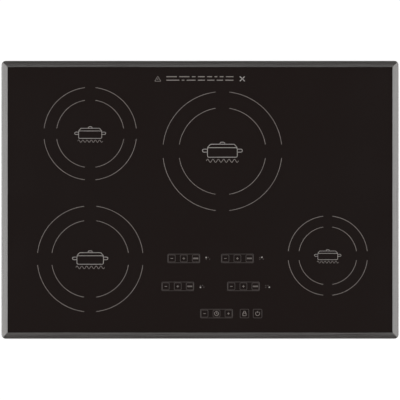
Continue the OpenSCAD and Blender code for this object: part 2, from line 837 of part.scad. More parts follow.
glass_top();
bezel(0);  // bezel_front
bezel(180);  // bezel_rear
bezel(270);  // bezel_left
bezel(90);  // bezel_right
bezel_corner_keys();
silicone_beads();
worktop_gasket();
bottom_pan();
end_wall(false);  // front_wall
end_wall(true);  // rear_wall
side_wall(LEFT);  // left_wall
side_wall(RIGHT);  // right_wall
rubber_feet();
case_screws();
support_posts();
clamp_brackets();
clamp_screw(LEFT);  // clamp_screw_left
clamp_screw(RIGHT);  // clamp_screw_right
clamp_cap(LEFT);  // clamp_cap_left
clamp_cap(RIGHT);  // clamp_cap_right
fan_housing(LEFT);  // fan_housing_left
fan_housing(RIGHT);  // fan_housing_right
fan_impeller(LEFT);  // fan_impeller_left
fan_impeller(RIGHT);  // fan_impeller_right
fan_motors();
inverter_board(LEFT);  // inverter_board_left
inverter_board(RIGHT);  // inverter_board_right
heatsink(LEFT);  // heatsink_left
heatsink(RIGHT);  // heatsink_right
power_transistors(LEFT);  // power_transistors_left
power_transistors(RIGHT);  // power_transistors_right
film_capacitors(LEFT);  // film_capacitors_left
film_capacitors(RIGHT);  // film_capacitors_right
chokes(LEFT);  // chokes_left
chokes(RIGHT);  // chokes_right
filter_board();
filter_components();
terminal_block();
conduit_bushing();
earth_stud();
coil_winding(rear_left);  // coil_winding_rear_left
coil_winding(rear_centre);  // coil_winding_rear_centre
coil_winding(front_left);  // coil_winding_front_left
coil_winding(front_right);  // coil_winding_front_right
coil_former(rear_left);  // coil_former_rear_left
coil_former(rear_centre);  // coil_former_rear_centre
coil_former(front_left);  // coil_former_front_left
coil_former(front_right);  // coil_former_front_right
ferrites([rear_left, front_left]);  // ferrites_left
ferrites([rear_centre, front_right]);  // ferrites_right
coil_sensors([rear_left, front_left]);  // coil_sensors_left
coil_sensors([rear_centre, front_right]);  // coil_sensors_right
coil_tray(left_outline, left_posts, [rear_left, front_left]);  // coil_tray_left
coil_tray(right_outline, right_posts, [rear_centre, front_right]);  // coil_tray_right
tray_springs(left_posts);  // tray_springs_left
tray_springs(right_posts);  // tray_springs_right
touch_holder();
touch_board();
touch_springs();
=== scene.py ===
# %% [markdown]
# # A drop-in induction cooktop
# The real thing is a sheet of black glass-ceramic in a metal frame. A steel box hangs under it, with
# coils, power boards and blowers. The CAD model gives every piece its size and place. Blender adds the
# finishes, the printed marks, and the wound, folded and soldered detail that CAD leaves plain.

import json
import math

import bmesh
import bpy
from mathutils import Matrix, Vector

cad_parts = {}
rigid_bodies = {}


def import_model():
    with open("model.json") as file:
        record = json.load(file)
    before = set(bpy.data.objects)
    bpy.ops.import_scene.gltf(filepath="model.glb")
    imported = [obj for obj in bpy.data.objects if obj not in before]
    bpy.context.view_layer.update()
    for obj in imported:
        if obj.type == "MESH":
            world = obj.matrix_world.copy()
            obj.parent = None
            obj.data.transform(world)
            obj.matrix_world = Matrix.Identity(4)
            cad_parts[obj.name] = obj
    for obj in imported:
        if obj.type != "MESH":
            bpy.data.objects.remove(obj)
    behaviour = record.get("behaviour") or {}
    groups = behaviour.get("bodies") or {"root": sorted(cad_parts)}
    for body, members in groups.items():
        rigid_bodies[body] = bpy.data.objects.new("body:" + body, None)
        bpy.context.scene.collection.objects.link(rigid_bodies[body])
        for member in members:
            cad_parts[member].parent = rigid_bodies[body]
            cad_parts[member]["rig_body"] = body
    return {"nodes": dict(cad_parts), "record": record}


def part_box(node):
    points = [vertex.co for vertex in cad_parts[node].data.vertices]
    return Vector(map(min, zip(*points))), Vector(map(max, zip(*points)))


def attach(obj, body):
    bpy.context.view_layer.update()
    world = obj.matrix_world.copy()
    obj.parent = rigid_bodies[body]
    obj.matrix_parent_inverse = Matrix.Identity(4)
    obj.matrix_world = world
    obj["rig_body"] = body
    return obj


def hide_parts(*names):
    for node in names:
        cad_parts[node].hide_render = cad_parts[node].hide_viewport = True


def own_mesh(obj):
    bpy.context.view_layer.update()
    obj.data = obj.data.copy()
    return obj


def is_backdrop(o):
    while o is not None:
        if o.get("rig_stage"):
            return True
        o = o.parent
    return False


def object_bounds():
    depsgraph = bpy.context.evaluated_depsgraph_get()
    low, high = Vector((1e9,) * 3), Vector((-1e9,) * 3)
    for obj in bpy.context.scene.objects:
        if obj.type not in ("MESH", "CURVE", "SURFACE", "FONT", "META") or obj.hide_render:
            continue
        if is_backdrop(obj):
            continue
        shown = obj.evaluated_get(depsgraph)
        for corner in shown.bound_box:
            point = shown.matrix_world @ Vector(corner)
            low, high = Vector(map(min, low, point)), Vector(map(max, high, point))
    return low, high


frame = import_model()
cad_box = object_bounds()
scene = bpy.context.scene
MM = 0.001
print("CAD box, mm:", [round(v / MM, 1) for v in (*cad_box[0], *cad_box[1])])

# %% [markdown]
# ## Reading places from the CAD model
# A CAD node can hold several equal solids, such as all the feet. Their places could be typed in again,
# but then two lists would have to agree. It is safer to find the solids in the node's mesh, by walking
# along its edges, and to take each one's box.


# %% Find the separate solids of a node
def merged_copy(node):
    """A bmesh of a CAD node with its loose triangles joined."""
    work = bmesh.new()
    work.from_mesh(frame["nodes"][node].data)
    bmesh.ops.remove_doubles(work, verts=work.verts, dist=0.001 * MM)
    return work


def islands(work):
    """The vertices of a mesh, grouped by the solid that they belong to."""
    unseen, groups = set(work.verts), []
    while unseen:
        queue, group = [unseen.pop()], []
        while queue:
            vertex = queue.pop()
            group.append(vertex)
            near = {edge.other_vert(vertex) for edge in vertex.link_edges} & unseen
            unseen -= near
            queue += near
        groups.append(group)
    return groups


def box_of(group):
    """The low and high corners round some vertices."""
    places = [vertex.co for vertex in group]
    return Vector(map(min, zip(*places))), Vector(map(max, zip(*places)))


def solids(node):
    """The boxes (low corner, high corner) of a node's solids, from left to right."""
    work = merged_copy(node)
    boxes = [box_of(group) for group in islands(work)]
    work.free()
    return sorted(boxes, key=lambda box: (round(box[0].x, 5), box[0].y))


def middle(box):
    return (box[0] + box[1]) / 2


def alike(a, b, spread=0.1 * MM):
    return abs(a - b) < spread


SIDES = ("left", "right")
ZONES = ("rear_left", "rear_centre", "front_left", "front_right")
RING_PAST_COIL = 6 * MM
glass_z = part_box("glass_top")[1].z
zones = {}
for zone in ZONES:
    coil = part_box("coil_winding_" + zone)
    zones[zone] = (middle(coil), (coil[1].x - coil[0].x) / 2 + RING_PAST_COIL)
    print(zone, "ring radius, mm:", round(zones[zone][1] / MM, 1))

# %% [markdown]
# ## Small tools for node trees
# Materials and Geometry Nodes are both trees of nodes. These helpers add a node, wire its inputs and
# hand back its output, so that a tree reads like a recipe. The last ones run a Geometry Nodes tree on
# some points and edges, and keep the result as a plain mesh, which is what an export needs.


# %% Node tree helpers
def add(tree, kind, settings=None, inputs=None):
    """Adds a node. Each input is a number, a colour, or another node's output."""
    made = tree.nodes.new(kind)
    for key, value in (settings or {}).items():
        setattr(made, key, value)
    for key, value in (inputs or {}).items():
        if isinstance(value, bpy.types.NodeSocket):
            tree.links.new(value, made.inputs[key])
        else:
            made.inputs[key].default_value = value
    return made


def math_node(tree, operation, *values):
    """One sum on numbers or outputs. Returns its output."""
    return add(tree, "ShaderNodeMath", {"operation": operation}, dict(enumerate(values))).outputs[0]


def times(tree, a, b):
    return math_node(tree, "MULTIPLY", a, b)


def vector(tree, *values):
    """Three numbers or outputs as one vector."""
    return add(tree, "ShaderNodeCombineXYZ", None, dict(enumerate(values))).outputs[0]


def step(tree, kind, inputs, **settings):
    """One Geometry Nodes step. Returns its first output."""
    return add(tree, "GeometryNode" + kind, settings, inputs).outputs[0]


def swept(tree, curve, section, caps=True):
    """A section swept along a curve."""
    return step(tree, "CurveToMesh", {"Curve": curve, "Profile Curve": section, "Fill Caps": caps})


def on_points(tree, points, shape, turn=(0, 0, 0)):
    """A copy of a shape on each point."""
    return step(tree, "InstanceOnPoints", {"Points": points, "Instance": shape, "Rotation": turn})


def new_tree(name, inputs):
    """A Geometry Nodes tree with named inputs and a finish. Returns the tree and what it is given."""
    tree = bpy.data.node_groups.new(name, "GeometryNodeTree")
    tree.interface.new_socket("Geometry", in_out="INPUT", socket_type="NodeSocketGeometry")
    for label, value in inputs.items():
        kind = "NodeSocketInt" if isinstance(value, int) else "NodeSocketFloat"
        tree.interface.new_socket(label, in_out="INPUT", socket_type=kind).default_value = value
    tree.interface.new_socket("Finish", in_out="INPUT", socket_type="NodeSocketMaterial")
    tree.interface.new_socket("Geometry", in_out="OUTPUT", socket_type="NodeSocketGeometry")
    return tree, tree.nodes.new("NodeGroupInput").outputs


def end_tree(tree, given, shape):
    """Ends a tree with real geometry in its finish. Returns the tree."""
    real = step(tree, "RealizeInstances", {"Geometry": shape})
    painted = step(tree, "SetMaterial", {"Geometry": real, "Material": given["Finish"]})
    add(tree, "NodeGroupOutput", None, {0: painted})
    return tree


def end_on_points(tree, given, shape, turn=(0, 0, 0)):
    """Ends a tree with a copy of the shape on each point that it is given."""
    return end_tree(tree, given, on_points(tree, given["Geometry"], shape, turn))


def new_object(name, mesh):
    made = bpy.data.objects.new(name, mesh)
    scene.collection.objects.link(made)
    return made


def plain_mesh(holder):
    """Makes an object's modified shape its own plain mesh."""
    graph = bpy.context.evaluated_depsgraph_get()
    holder.data = bpy.data.meshes.new_from_object(holder.evaluated_get(graph))
    holder.modifiers.clear()
    if holder.data.materials[0] is None:
        holder.data.materials.pop(index=0)
    print(holder.name, "faces:", len(holder.data.polygons))
    return holder


def grow(name, tree, values, points, edges=(), faces=()):
    """Runs a tree on points, edges or faces, and returns the result as an object with a plain mesh."""
    seed = bpy.data.meshes.new(name)
    seed.from_pydata([tuple(p) for p in points], [tuple(e) for e in edges], [tuple(f) for f in faces])
    made = new_object(name, seed)
    modifier = made.modifiers.new("grow", "NODES")
    modifier.node_group = tree
    for item in tree.interface.items_tree:
        if item.in_out == "INPUT" and item.name in values:
            modifier[item.identifier] = values[item.name]
    return plain_mesh(made)


def place(piece, body, slot, *replaced):
    """Says which body a piece rides on and which CAD nodes it stands for. The slot is not used."""
    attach(piece, body)
    if replaced:
        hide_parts(*replaced)
    return piece


# %% [markdown]
# ## Camera
# The cooktop is looked at from straight above. A lens that is very long, from far away, draws it almost
# without perspective, so the frame's sides hardly show.

# %% Camera
CAMERA_DISTANCE = 6.0
FIELD_PAST_RIM = 4.9 * MM
SENSOR = 36.0
AIM_X, AIM_Y = -0.1 * MM, -0.4 * MM
rim_width = cad_box[1].x - cad_box[0].x
camera = bpy.data.objects.new("studio_camera", bpy.data.cameras.new("studio_camera"))
scene.collection.objects.link(camera)
camera.data.sensor_width = SENSOR
camera.data.lens = SENSOR * CAMERA_DISTANCE / (rim_width + FIELD_PAST_RIM)
camera.location = (AIM_X, AIM_Y, cad_box[1].z + CAMERA_DISTANCE)
scene.camera = camera
print("lens, mm:", round(camera.data.lens))

# %% [markdown]
# ## Studio light
# Black glass is a mirror, so it shows the room more than its own colour. A whole studio is therefore
# drawn on the sky: dark overhead, so that the glass stays black, wide soft boxes high on the left and
# right, which brighten the side rails, and a grey wall all round. Area lamps could do this too, but a
# sky leaves nothing standing between the camera and the object. Two broad suns low on the left and
# right light the print and the metal.

# %% Sky with soft boxes
OVERHEAD, UPPER, WALL, SOFT_BOX = 0.05, 0.075, 0.24, 1.10
WARM, NEUTRAL = (1.0, 0.87, 0.85, 1), (1.0, 1.0, 1.0, 1)


def ramp(tree, value, start, end, low=0.0, high=1.0):
    """A smooth step: low below start, high above end. Start may be the larger one."""
    values = {"Value": value, "From Min": start, "From Max": end, "To Min": low, "To Max": high}
    return add(tree, "ShaderNodeMapRange", {"interpolation_type": "SMOOTHSTEP"}, values).outputs[0]


world = bpy.data.worlds.new("studio")
world.use_nodes = True
scene.world = world
sky = world.node_tree
direction = add(sky, "ShaderNodeTexCoord").outputs["Generated"]
parts = add(sky, "ShaderNodeSeparateXYZ", None, {0: direction}).outputs
flat = math_node(sky, "SQRT", math_node(sky, "SUBTRACT", 1.0, math_node(sky, "POWER", parts[2], 2.0)))
sideways = math_node(sky, "DIVIDE", math_node(sky, "ABSOLUTE", parts[0]), flat)
# parts[2] is the height in the sky: 0 at the horizon, and 1 straight overhead.
upper = ramp(sky, parts[2], 0.62, 0.20, UPPER, WALL)
overhead = ramp(sky, parts[2], 0.9925, 0.9962)
boxes = times(sky, ramp(sky, sideways, 0.76, 0.92), ramp(sky, parts[2], 0.70, 0.98))
neutral = math_node(sky, "MAXIMUM", boxes, ramp(sky, parts[2], 0.70, 0.40))
tone = add(sky, "ShaderNodeMix", {"data_type": "RGBA"}, {0: neutral, 6: WARM, 7: NEUTRAL}).outputs[2]
glow = math_node(sky, "MULTIPLY_ADD", boxes, SOFT_BOX, upper)
dimmed = times(sky, glow, math_node(sky, "SUBTRACT", 1.0, overhead))
total = math_node(sky, "MULTIPLY_ADD", overhead, OVERHEAD, dimmed)
sky.links.new(tone, sky.nodes["Background"].inputs["Color"])
sky.links.new(total, sky.nodes["Background"].inputs["Strength"])
scene.view_settings.view_transform = "Standard"

# %% Two suns
SUN_TILT, SUN_SPREAD = math.radians(58), math.radians(24)
for name, turn, strength in (("key_sun", -80, 0.70), ("fill_sun", 100, 0.45)):
    sun = bpy.data.objects.new(name, bpy.data.lights.new(name, "SUN"))
    sun.data.energy = strength
    sun.data.angle = SUN_SPREAD
    sun.rotation_euler = (SUN_TILT, 0, math.radians(turn))
    scene.collection.objects.link(sun)

# %% [markdown]
# ## Materials
# Each material is one Principled shader with patterns that move its colour, its roughness and its
# surface a little. The patterns read the object's own coordinates, so they stay with the piece when it
# moves. A class keeps shader and patterns together, and a finish is then a short list of calls.


# %% A shader and what makes it uneven
class Finish:
    """A material with one Principled shader, and the ways to make it uneven."""

    def __init__(self, name, roughness, metallic=0.0, **sockets):
        self.material = bpy.data.materials.new(name)
        self.material.use_nodes = True
        self.tree = self.material.node_tree
        self.shader = self.tree.nodes["Principled BSDF"]
        self.shader.inputs["Roughness"].default_value = roughness
        self.shader.inputs["Metallic"].default_value = metallic
        for label, value in sockets.items():
            self.shader.inputs[label.replace("_", " ")].default_value = value

    def wire(self, output, socket):
        self.tree.links.new(output, self.shader.inputs[socket])

    def where(self):
        """The coordinates of the object itself."""
        return add(self.tree, "ShaderNodeTexCoord").outputs["Object"]

    def noise(self, grain, detail=3.0, stretch=(1, 1, 1)):
        """Noise from 0 to 1. Grain is its size in metres."""
        scale = tuple(s / grain for s in stretch)
        scaled = add(self.tree, "ShaderNodeMapping", None, {"Vector": self.where(), "Scale": scale})
        values = {"Vector": scaled.outputs[0], "Scale": 1.0, "Detail": detail}
        return add(self.tree, "ShaderNodeTexNoise", None, values).outputs["Fac"]

    def blend(self, pattern, low, high, start=0.35, end=0.65):
        """Colours the shader from low to high with a pattern."""
        fade = ramp(self.tree, pattern, start, end)
        colours = {0: fade, 6: (*low, 1), 7: (*high, 1)}
        mix = add(self.tree, "ShaderNodeMix", {"data_type": "RGBA"}, colours)
        self.wire(mix.outputs[2], "Base Color")

    def tint(self, pattern, colour, dark, light, *limits):
        """Varies one colour between a darker and a lighter share of itself."""
        self.blend(pattern, [c * dark for c in colour], [min(c * light, 1) for c in colour], *limits)

    def roughen(self, pattern, low, high):
        self.wire(ramp(self.tree, pattern, 0.3, 0.7, low, high), "Roughness")

    def emboss(self, pattern, depth):
        """Raises the surface with a pattern, by about depth metres."""
        values = {"Height": pattern, "Distance": depth, "Strength": 0.6}
        self.wire(add(self.tree, "ShaderNodeBump", None, values).outputs[0], "Normal")


# %% [markdown]
# ## Floor
# A light table: a white sheet that glows a little, so that the cooktop throws hardly any shadow. From
# below it is clear, so that the underside can be looked at too.

# %% Floor
FLOOR_HALF = 20.0
floor_mesh = bpy.data.meshes.new("floor")
corners = [(x * FLOOR_HALF, y * FLOOR_HALF, 0) for x, y in ((-1, -1), (1, -1), (1, 1), (-1, 1))]
floor_mesh.from_pydata(corners, [], [(0, 1, 2, 3)])
floor = new_object("floor", floor_mesh)
floor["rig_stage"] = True
table = Finish("light_table", 0.9, Base_Color=(0.3, 0.3, 0.3, 1), Emission_Color=(1, 1, 1, 1),
               Emission_Strength=0.93)
below = add(table.tree, "ShaderNodeNewGeometry").outputs["Backfacing"]
clear = add(table.tree, "ShaderNodeBsdfTransparent").outputs[0]
seen = add(table.tree, "ShaderNodeMixShader", None, {0: below, 1: table.shader.outputs[0], 2: clear})
table.tree.links.new(seen.outputs[0], table.tree.nodes["Material Output"].inputs["Surface"])
floor_mesh.materials.append(table.material)

# %% [markdown]
# ## Finishes
# No real surface is one flat colour. The size of each pattern is the size of the real texture: a fine
# grain for moulded plastic, hair lines for brushed metal, crystals for galvanised steel.


# %% Screen colours
def srgb(*levels):
    """A screen colour, 0 to 255, as the linear colour that shaders take."""
    return tuple((v / 255 / 12.92) if v < 10.3 else ((v / 255 + 0.055) / 1.055) ** 2.4 for v in levels)


# %% [markdown]
# ### Metals
# Brushed metal is noise pulled out into long hairs along the rail. Galvanised steel is covered with
# flat zinc crystals, so Voronoi cells suit it: each cell gets its own grey. Turned, plated and drawn
# wire metals only need a fine unevenness.


# %% Metal finishes
def brushed(name, colour, along_x):
    """Aluminium with hair lines along X or along Y."""
    skin = Finish(name, 0.34, 1.0)
    hairs = skin.noise(0.35 * MM, 2.0, (0.003, 1, 1) if along_x else (1, 0.003, 1))
    skin.tint(hairs, colour, 0.90, 1.08)
    skin.roughen(hairs, 0.26, 0.36)
    skin.emboss(hairs, 0.004 * MM)
    return skin.material


def galvanised(name, colour):
    """Zinc-coated sheet with faint crystals of about 5 mm."""
    skin = Finish(name, 0.42, 0.9)
    where = skin.where()
    warp = add(skin.tree, "ShaderNodeTexNoise", None, {"Vector": where, "Scale": 420.0}).outputs["Color"]
    bent = add(skin.tree, "ShaderNodeMix", {"data_type": "VECTOR"}, {0: 0.0025, 4: where, 5: warp})
    cells = add(skin.tree, "ShaderNodeTexVoronoi", None, {"Vector": bent.outputs[1], "Scale": 210.0})
    shade = add(skin.tree, "ShaderNodeSeparateColor", None, {0: cells.outputs["Color"]}).outputs[0]
    skin.tint(shade, colour, 0.95, 1.03, 0.0, 1.0)
    skin.roughen(shade, 0.39, 0.45)
    skin.emboss(skin.noise(0.6 * MM), 0.01 * MM)
    return skin.material


def metal(name, colour, roughness, grain=0.5 * MM):
    """Plain plated, turned or drawn metal."""
    skin = Finish(name, roughness, 1.0)
    skin.tint(skin.noise(grain * 8), colour, 0.88, 1.06)
    skin.roughen(skin.noise(grain), roughness * 0.8, roughness * 1.25)
    skin.emboss(skin.noise(grain), 0.001 * MM)
    return skin.material


# %% [markdown]
# ### Glass-ceramic and its print
# The sheet is tinted so darkly that it is nearly black, with a faint warm speckle from its crystals. Its
# faces are drawn and not ground, so they wave very slightly. The marks are a fired ceramic ink: matt,
# grey, a few hundredths of a millimetre high, and slightly grainy from the printing screen.

# %% Glass and ink
GLASS_LOW, GLASS_HIGH = srgb(45, 37, 35), srgb(50, 42, 40)
glass = Finish("glass_ceramic", 0.06, 0.0, IOR=1.53)
glass.blend(glass.noise(0.5 * MM, 4.0), GLASS_LOW, GLASS_HIGH)
glass.roughen(glass.noise(90 * MM, 2.0), 0.045, 0.085)
glass.emboss(glass.noise(45 * MM, 1.0), 0.012 * MM)


def ink(name, colour):
    skin = Finish(name, 0.55)
    screen = skin.noise(0.25 * MM, 2.0)
    skin.tint(screen, colour, 0.82, 1.12)
    skin.roughen(screen, 0.45, 0.65)
    return skin.material


ink_bright = ink("print_bright", srgb(234, 229, 225))
ink_line = ink("print_line", srgb(203, 195, 189))
ink_dim = ink("print_dim", srgb(124, 117, 114))


# %% [markdown]
# ### Plastics, rubber, boards and copper
# Moulded parts have a fine spark-eroded grain. A circuit board is green lacquer over copper tracks, and
# the tracks show as a slightly lighter green. They run in bundles, some along the board and some across,
# between solid areas of copper. Square Voronoi cells make the patches, and each cell's random value says
# which of the three it is.


# %% Other finishes
def moulded(name, colour, roughness=0.5, grain=0.35 * MM, depth=0.012 * MM):
    """Plastic or rubber with a fine mould grain."""
    skin = Finish(name, roughness)
    skin.tint(skin.noise(14 * MM), colour, 0.88, 1.12)
    sparks = skin.noise(grain)
    skin.roughen(sparks, roughness * 0.85, min(roughness * 1.2, 1))
    skin.emboss(sparks, depth)
    return skin.material


def lacquered_board(name, lacquer, track):
    """Green solder mask with the tracks under it."""
    skin = Finish(name, 0.30, 0.0, IOR=1.5)
    tree, where = skin.tree, skin.where()
    values = {"Vector": where, "Scale": 120.0, "Randomness": 0.7}
    cells = add(tree, "ShaderNodeTexVoronoi", {"distance": "CHEBYCHEV"}, values).outputs["Color"]
    lot = add(tree, "ShaderNodeSeparateColor", None, {0: cells}).outputs[0]
    across = add(tree, "ShaderNodeSeparateXYZ", None, {0: where}).outputs
    lines = [ramp(tree, math_node(tree, "PINGPONG", across[axis], 0.6 * MM), 0.22 * MM, 0.30 * MM)
             for axis in (0, 1)]
    values = {0: math_node(tree, "GREATER_THAN", lot, 0.42), 2: lines[0], 3: lines[1]}
    chosen = add(tree, "ShaderNodeMix", None, values).outputs[0]
    copper = math_node(tree, "MAXIMUM", chosen, math_node(tree, "GREATER_THAN", lot, 0.84))
    skin.blend(copper, lacquer, track)
    skin.emboss(copper, 0.03 * MM)
    return skin.material


def woven_copper(name, colour):
    """Enamelled strands: bright copper that darkens in patches where the lacquer is thick."""
    skin = Finish(name, 0.30, 0.85, Coat_Weight=0.4, Coat_Roughness=0.2)
    skin.tint(skin.noise(6 * MM), colour, 0.7, 1.0)
    skin.roughen(skin.noise(0.4 * MM), 0.24, 0.42)
    return skin.material

# %% The finish of each material slot
SLOT_FINISH = {
    "glass_ceramic": glass.material,
    "galvanised_steel": galvanised("galvanised_steel", srgb(178, 180, 182)),
    "circuit_board": lacquered_board("circuit_board", srgb(14, 74, 42), srgb(44, 122, 70)),
}
for name, make, colour, *more in (
    ("key_steel", metal, (190, 190, 190), 0.35),
    ("silicone", moulded, (38, 38, 38), 0.38),
    ("foam_gasket", moulded, (52, 52, 52), 0.9, 0.8 * MM, 0.15 * MM),
    ("black_rubber", moulded, (40, 40, 40), 0.75),
    ("zinc_screws", metal, (205, 206, 204), 0.28),
    ("turned_steel", metal, (176, 176, 178), 0.35),
    ("clamp_plastic", moulded, (44, 44, 46)),
    ("fan_plastic", moulded, (48, 48, 52), 0.45),
    ("wheel_plastic", moulded, (60, 60, 64), 0.35),
    ("motor_metal", metal, (165, 163, 158), 0.45, 1.2 * MM),
    ("aluminium_fins", metal, (208, 208, 210), 0.38, 0.8 * MM),
    ("aluminium_plain", metal, (214, 214, 216), 0.40, 1.5 * MM),
    ("transistor_epoxy", moulded, (34, 34, 36), 0.55),
    ("capacitor_case", moulded, (196, 186, 168), 0.35),
    ("choke_winding", woven_copper, (196, 112, 62)),
    ("filter_parts", moulded, (206, 168, 70), 0.35),
    ("terminal_plastic", moulded, (222, 218, 206), 0.45),
    ("earth_brass", metal, (206, 172, 96), 0.28),
    ("copper_litz", woven_copper, (206, 122, 70)),
    ("coil_plastic", moulded, (56, 56, 58), 0.5),
    ("ferrite", moulded, (62, 62, 66), 0.6, 0.6 * MM, 0.03 * MM),
    ("sensor_silicone", moulded, (186, 70, 44), 0.45),
    ("spring_steel", metal, (186, 186, 188), 0.25),
    ("holder_plastic", moulded, (206, 206, 202), 0.5),
):
    SLOT_FINISH[name] = make(name, srgb(*colour), *more)
BEZEL_GREY = srgb(176, 176, 175)
rail_x = brushed("bezel_brushed_across", BEZEL_GREY, True)
rail_y = brushed("bezel_brushed_deep", BEZEL_GREY, False)
SLOT_OF = {row["node"]: row["material_slot"] for row in frame["record"]["subparts"]}


def finish_of(node):
    """The finish of a CAD node, from its material slot. The rails differ in the way their hairs run."""
    if node in ("bezel_front", "bezel_rear"):
        return rail_x
    if node in ("bezel_left", "bezel_right"):
        return rail_y
    return SLOT_FINISH[SLOT_OF[node]]


for node, holder in frame["nodes"].items():
    holder.data.materials.clear()
    holder.data.materials.append(finish_of(node))
print("finishes:", len(SLOT_FINISH) + 2)

# %% [markdown]
# ## Printed marks
# The print could be a picture on the glass, but a picture blurs close up. Here every mark is thin real
# geometry. A drawing is a list of strokes in millimetres, and one Geometry Nodes tree turns strokes
# into bands of ink: edges become curves, corners are rounded, and a flat section is swept along them.

# %% The ink tree
INK_T = 0.06 * MM


def flat_band(tree, curve, width):
    """Sweeps an ink-thick flat section along a curve that lies on the glass."""
    upright = step(tree, "SetCurveNormal", {0: curve}, mode="Z_UP")
    section = step(tree, "CurvePrimitiveQuadrilateral", {"Width": width, "Height": INK_T})
    return swept(tree, upright, section)


def print_marks(name, *how):
    """Grows marks on the glass."""
    return place(grow(name, *how), "burner_box", "glass_ceramic")


tree, given = new_tree("ink_strokes", {"Line width": 1.0 * MM, "Corner": 1.0 * MM})
strokes = step(tree, "MeshToCurve", {0: given["Geometry"]})
corners = {0: strokes, "Count": 4, "Radius": given["Corner"], "Limit Radius": True}
rounded = step(tree, "FilletCurve", corners, mode="POLY")
ink_tree = end_tree(tree, given, flat_band(tree, rounded, given["Line width"]))

# %% [markdown]
# ### Zone rings
# Each zone has two rings, cut into four arcs by gaps with parallel sides. One arc primitive per ring is
# enough: four copies of it, turned by a quarter each, make the ring. The gap's width gives the angle at
# which an arc has to start.

# %% Zone rings
RING_LINE = 0.86 * MM
INNER_RING = 0.73
GAP = 0.23


def turned_copies(tree, shape, count):
    """Count copies of a shape, turned evenly about Z."""
    line = step(tree, "MeshLine", {"Count": count, "Offset": (0, 0, 0)})
    turn = times(tree, step(tree, "InputIndex", {}), 2 * math.pi / count)
    return on_points(tree, line, shape, vector(tree, 0.0, 0.0, turn))


tree, given = new_tree("zone_ring", {"Radius": 0.1, "Gap": 0.02, "Line width": RING_LINE})
half_gap = math_node(tree, "DIVIDE", times(tree, given["Gap"], 0.5), given["Radius"])
start = math_node(tree, "ARCSINE", half_gap)
sweep = math_node(tree, "MULTIPLY_ADD", start, -2.0, math.pi / 2)
arc = step(tree, "CurveArc", {
    "Resolution": 40, "Radius": given["Radius"], "Start Angle": start, "Sweep Angle": sweep})
ring = turned_copies(tree, flat_band(tree, arc, given["Line width"]), 4)
ring_tree = end_on_points(tree, given, ring)

for zone, (centre, radius) in zones.items():
    on_glass = [(centre.x, centre.y, glass_z + INK_T / 2)]
    for label, share in (("outer", 1.0), ("inner", INNER_RING)):
        values = {"Radius": radius * share, "Gap": GAP * radius, "Finish": ink_line}
        print_marks(f"print_{label}_ring_{zone}", ring_tree, values, on_glass)

# %% [markdown]
# ### Drawing with strokes
# The keys and icons are drawn as on paper: rectangles, short lines and arcs, around a centre. The marks
# are plain signs of this kind of appliance: a pan over a coil for each zone, minus, plus and boost keys,
# a clock, a padlock and a power sign.


# %% Stroke helpers
class Drawing:
    """Strokes on the glass, in metres, kept as points and edges for the ink tree."""

    def __init__(self):
        self.points, self.edges = [], []

    def stroke(self, centre, points, closed=False, unit=MM):
        first = len(self.points)
        self.points += [(centre[0] + x * unit, centre[1] + y * unit, glass_z + INK_T / 2) for x, y in points]
        count = len(points)
        self.edges += [(first + i, first + (i + 1) % count) for i in range(count if closed else count - 1)]

    def box(self, centre, width, height):
        x, y = width / 2, height / 2
        self.stroke(centre, [(-x, -y), (x, -y), (x, y), (-x, y)], True)

    def arc(self, centre, radius, start=0, end=360):
        steps = max(6, int(abs(end - start) / 15))
        whole = end - start == 360
        angles = [math.radians(start + (end - start) * i / steps) for i in range(steps + (not whole))]
        self.stroke(centre, [(radius * math.cos(a), radius * math.sin(a)) for a in angles], whole)

    def print(self, name, line, corner, material):
        values = {"Line width": line * MM, "Corner": corner * MM, "Finish": material}
        print_marks(name, ink_tree, values, self.points, self.edges)


# %% Pan-and-coil mark of each zone, in shares of the zone's radius
POT = [(-0.25, 0.06), (-0.25, -0.10), (0.25, -0.10), (0.25, 0.06)]
HANDLE = [(0.25, 0.035), (0.335, 0.035), (0.335, -0.015), (0.25, -0.015)]
LID = [(-0.25, 0.06), (-0.20, 0.118), (0.20, 0.118), (0.25, 0.06)]
KNOB = [(-0.04, 0.118), (-0.04, 0.152), (0.04, 0.152), (0.04, 0.118)]
WAVES, WAVE_STEPS = 6, 12
COIL_HALF, COIL_Y, WAVE_HEIGHT = 0.27, -0.160, 0.027
COIL = [(COIL_HALF * (i / (WAVES * WAVE_STEPS / 2) - 1),
         COIL_Y + WAVE_HEIGHT * math.sin(i / WAVE_STEPS * 2 * math.pi))
        for i in range(WAVES * WAVE_STEPS + 1)]
PAN_LINE, PAN_CORNER, COIL_LINE = 0.0112, 0.025, 0.0085
for zone, (centre, radius) in zones.items():
    pan, coil = Drawing(), Drawing()
    pan.stroke(centre, POT, True, radius)
    for points in (HANDLE, [(-x, y) for x, y in HANDLE], LID, KNOB):
        pan.stroke(centre, points, False, radius)
    coil.stroke(centre, COIL, False, radius)
    pan.print("print_pan_mark_" + zone, PAN_LINE * radius / MM, PAN_CORNER * radius / MM, ink_bright)
    coil.print("print_coil_mark_" + zone, COIL_LINE * radius / MM, 0.0, ink_line)

# %% [markdown]
# ### Touch keys
# A contact spring presses on the glass under every key, so the springs say where the keys are. Keys in
# one row that are a pitch apart share a frame.

# %% Key groups from the contact springs
KEY_PITCH = 23 * MM
centres = sorted((middle(box) for box in solids("touch_springs")), key=lambda c: (-round(c.y, 3), c.x))
groups = []
for c in centres:
    last = groups[-1][-1] if groups else None
    if last and abs(last.y - c.y) < MM and c.x - last.x < KEY_PITCH + MM:
        groups[-1].append(c)
    else:
        groups.append([c])
print("keys in each group:", [len(g) for g in groups])

# %% Key frames and signs, in millimetres
GROUP_FRAME, KEY_FRAME, LONE_FRAME = (61.4, 16.7), (13.3, 13.3), (16.6, 16.6)
FRAME_LINE, FRAME_CORNER = 0.75, 1.9
SIGN_LINE, SIGN_CORNER = 0.9, 0.25
frames, signs = Drawing(), Drawing()


